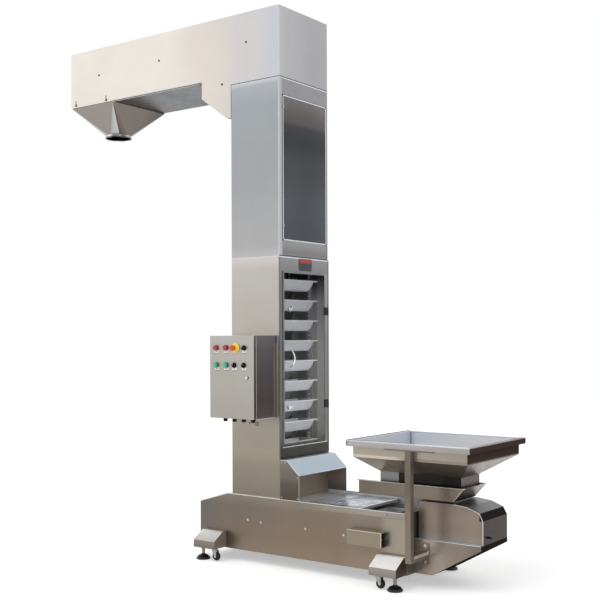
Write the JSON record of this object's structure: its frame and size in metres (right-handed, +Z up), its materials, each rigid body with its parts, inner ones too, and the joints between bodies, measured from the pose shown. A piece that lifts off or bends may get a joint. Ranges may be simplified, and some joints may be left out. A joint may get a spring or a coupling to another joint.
{
  "type": "pendulum bucket conveyor with vibrating feeder",
  "caption": "Z-shaped pendulum bucket elevator with vibrating feeder, feed hopper, inspection window door, control cabinet and discharge chute.",
  "frame": {"origin": "centre of the machine's footprint box, on the floor", "axes": "+Z up, +X from the discharge chute to the feed hopper, -Y toward the control cabinet"},
  "size_m": [3.175, 0.879, 3.4],
  "materials": {
    "stainless": "brushed stainless sheet",
    "dark_panel": "dark reflective panel",
    "machined_steel": "turned and stamped steel",
    "clear_acrylic": "clear acrylic sheet",
    "bright_chrome": "polished chrome",
    "black_plastic": "moulded black plastic",
    "cabinet_steel": "brushed stainless enclosure",
    "red_plastic": "moulded red plastic",
    "bucket_plastic": "moulded food-grade plastic",
    "black_rubber": "black rubber",
    "zinc_steel": "zinc plated steel"
  },
  "bodies": {
    "housing": {"base_side_front": "stainless", "base_side_rear": "stainless", "base_floor": "stainless", "base_deck": "stainless", "trough_lid": "stainless", "inlet_hood": "stainless", "column_lower_shell": "stainless", "column_lower_frame": "stainless", "column_upper_shell": "stainless", "column_upper_frame": "stainless", "head_side_front": "stainless", "head_side_rear": "stainless", "head_cover": "stainless", "head_underside": "stainless", "discharge_chute": "stainless", "feeder_frame": "stainless", "vibrator_housing": "stainless", "feeder_pan": "stainless", "feed_hopper": "stainless", "hopper_post_front": "stainless", "hopper_post_rear": "stainless", "upper_panel": "dark_panel", "tail_shaft": "machined_steel", "bucket_chain": "machined_steel", "hinge_post_lower": "black_plastic", "hinge_post_upper": "black_plastic", "cabinet_box": "cabinet_steel", "levelling_foot_left_front": "black_rubber", "levelling_foot_left_rear": "black_rubber", "levelling_foot_right_front": "black_rubber", "levelling_foot_right_rear": "black_rubber"},
    "window_door": {"window_door": "clear_acrylic", "door_handle": "bright_chrome", "hinge_leaf_lower": "black_plastic", "hinge_leaf_upper": "black_plastic"},
    "door_lock_upper": {"door_lock_upper": "bright_chrome"},
    "door_lock_lower": {"door_lock_lower": "bright_chrome"},
    "cabinet_door": {"cabinet_door": "cabinet_steel"},
    "emergency_stop": {"emergency_stop": "red_plastic"},
    "speed_knob": {"speed_knob": "black_plastic"},
    "selector_left": {"selector_left": "black_plastic"},
    "selector_right": {"selector_right": "black_plastic"},
    "bucket_1": {"swing_bucket_1": "bucket_plastic"},
    "bucket_2": {"swing_bucket_2": "bucket_plastic"},
    "bucket_3": {"swing_bucket_3": "bucket_plastic"},
    "bucket_4": {"swing_bucket_4": "bucket_plastic"},
    "bucket_5": {"swing_bucket_5": "bucket_plastic"},
    "bucket_6": {"swing_bucket_6": "bucket_plastic"},
    "bucket_7": {"swing_bucket_7": "bucket_plastic"},
    "bucket_8": {"swing_bucket_8": "bucket_plastic"},
    "bucket_9": {"swing_bucket_9": "bucket_plastic"},
    "caster_left_front": {"caster_left_front_fork": "zinc_steel"},
    "wheel_left_front": {"caster_left_front_wheel": "black_rubber"},
    "caster_left_rear": {"caster_left_rear_fork": "zinc_steel"},
    "wheel_left_rear": {"caster_left_rear_wheel": "black_rubber"},
    "caster_right_front": {"caster_right_front_fork": "zinc_steel"},
    "wheel_right_front": {"caster_right_front_wheel": "black_rubber"},
    "caster_right_rear": {"caster_right_rear_fork": "zinc_steel"},
    "wheel_right_rear": {"caster_right_rear_wheel": "black_rubber"}
  },
  "joints": [
    {"name": "window_door_hinge", "type": "hinge", "parent": "housing", "child": "window_door", "pos_m": [0.2823, 0.313, 1.26], "axis": [0, 0, 1], "range_deg": [0, 110]},
    {"name": "door_lock_upper_turn", "type": "hinge", "parent": "window_door", "child": "door_lock_upper", "pos_m": [0.2875, -0.0985, 1.564], "axis": [1, 0, 0], "range_deg": [-90, 0]},
    {"name": "door_lock_lower_turn", "type": "hinge", "parent": "window_door", "child": "door_lock_lower", "pos_m": [0.2875, -0.1055, 0.966], "axis": [1, 0, 0], "range_deg": [-90, 0]},
    {"name": "cabinet_door_hinge", "type": "hinge", "parent": "housing", "child": "cabinet_door", "pos_m": [-0.0905, -0.3895, 1.155], "axis": [0, 0, 1], "range_deg": [-110, 0]},
    {"name": "emergency_stop_push", "type": "slide", "parent": "cabinet_door", "child": "emergency_stop", "axis": [0, 1, 0], "range_m": [0, 0.006]},
    {"name": "speed_knob_turn", "type": "hinge", "parent": "cabinet_door", "child": "speed_knob", "pos_m": [0.1785, -0.4105, 1.33], "axis": [0, -1, 0], "range_deg": [-135, 135]},
    {"name": "selector_left_turn", "type": "hinge", "parent": "cabinet_door", "child": "selector_left", "pos_m": [0.1015, -0.4105, 1.227], "axis": [0, -1, 0], "range_deg": [-45, 45]},
    {"name": "selector_right_turn", "type": "hinge", "parent": "cabinet_door", "child": "selector_right", "pos_m": [0.1745, -0.4105, 1.227], "axis": [0, -1, 0], "range_deg": [-45, 45]},
    {"name": "bucket_1_swing", "type": "hinge", "parent": "housing", "child": "bucket_1", "pos_m": [0.1675, 0.0695, 1.735], "axis": [0, 1, 0], "range_deg": [-20, 20]},
    {"name": "bucket_2_swing", "type": "hinge", "parent": "housing", "child": "bucket_2", "pos_m": [0.1675, 0.0695, 1.6095], "axis": [0, 1, 0], "range_deg": [-20, 20]},
    {"name": "bucket_3_swing", "type": "hinge", "parent": "housing", "child": "bucket_3", "pos_m": [0.1675, 0.0695, 1.484], "axis": [0, 1, 0], "range_deg": [-20, 20]},
    {"name": "bucket_4_swing", "type": "hinge", "parent": "housing", "child": "bucket_4", "pos_m": [0.1675, 0.0695, 1.3585], "axis": [0, 1, 0], "range_deg": [-20, 20]},
    {"name": "bucket_5_swing", "type": "hinge", "parent": "housing", "child": "bucket_5", "pos_m": [0.1675, 0.0695, 1.233], "axis": [0, 1, 0], "range_deg": [-20, 20]},
    {"name": "bucket_6_swing", "type": "hinge", "parent": "housing", "child": "bucket_6", "pos_m": [0.1675, 0.0695, 1.1075], "axis": [0, 1, 0], "range_deg": [-20, 20]},
    {"name": "bucket_7_swing", "type": "hinge", "parent": "housing", "child": "bucket_7", "pos_m": [0.1675, 0.0695, 0.982], "axis": [0, 1, 0], "range_deg": [-20, 20]},
    {"name": "bucket_8_swing", "type": "hinge", "parent": "housing", "child": "bucket_8", "pos_m": [0.1675, 0.0695, 0.8565], "axis": [0, 1, 0], "range_deg": [-20, 20]},
    {"name": "bucket_9_swing", "type": "hinge", "parent": "housing", "child": "bucket_9", "pos_m": [0.1675, 0.0695, 0.731], "axis": [0, 1, 0], "range_deg": [-20, 20]},
    {"name": "caster_left_front_swivel", "type": "hinge", "parent": "housing", "child": "caster_left_front", "pos_m": [-0.1875, -0.2555, 0.06], "axis": [0, 0, 1], "continuous": true},
    {"name": "wheel_left_front_roll", "type": "hinge", "parent": "caster_left_front", "child": "wheel_left_front", "pos_m": [-0.1715, -0.2555, 0.0305], "axis": [0, 1, 0], "continuous": true},
    {"name": "caster_left_rear_swivel", "type": "hinge", "parent": "housing", "child": "caster_left_rear", "pos_m": [-0.1875, 0.3945, 0.06], "axis": [0, 0, 1], "continuous": true},
    {"name": "wheel_left_rear_roll", "type": "hinge", "parent": "caster_left_rear", "child": "wheel_left_rear", "pos_m": [-0.1715, 0.3945, 0.0305], "axis": [0, 1, 0], "continuous": true},
    {"name": "caster_right_front_swivel", "type": "hinge", "parent": "housing", "child": "caster_right_front", "pos_m": [1.0125, -0.2555, 0.06], "axis": [0, 0, 1], "continuous": true},
    {"name": "wheel_right_front_roll", "type": "hinge", "parent": "caster_right_front", "child": "wheel_right_front", "pos_m": [1.0285, -0.2555, 0.0305], "axis": [0, 1, 0], "continuous": true},
    {"name": "caster_right_rear_swivel", "type": "hinge", "parent": "housing", "child": "caster_right_rear", "pos_m": [1.0125, 0.3945, 0.06], "axis": [0, 0, 1], "continuous": true},
    {"name": "wheel_right_rear_roll", "type": "hinge", "parent": "caster_right_rear", "child": "wheel_right_rear", "pos_m": [1.0285, 0.3945, 0.0305], "axis": [0, 1, 0], "continuous": true}
  ]
}
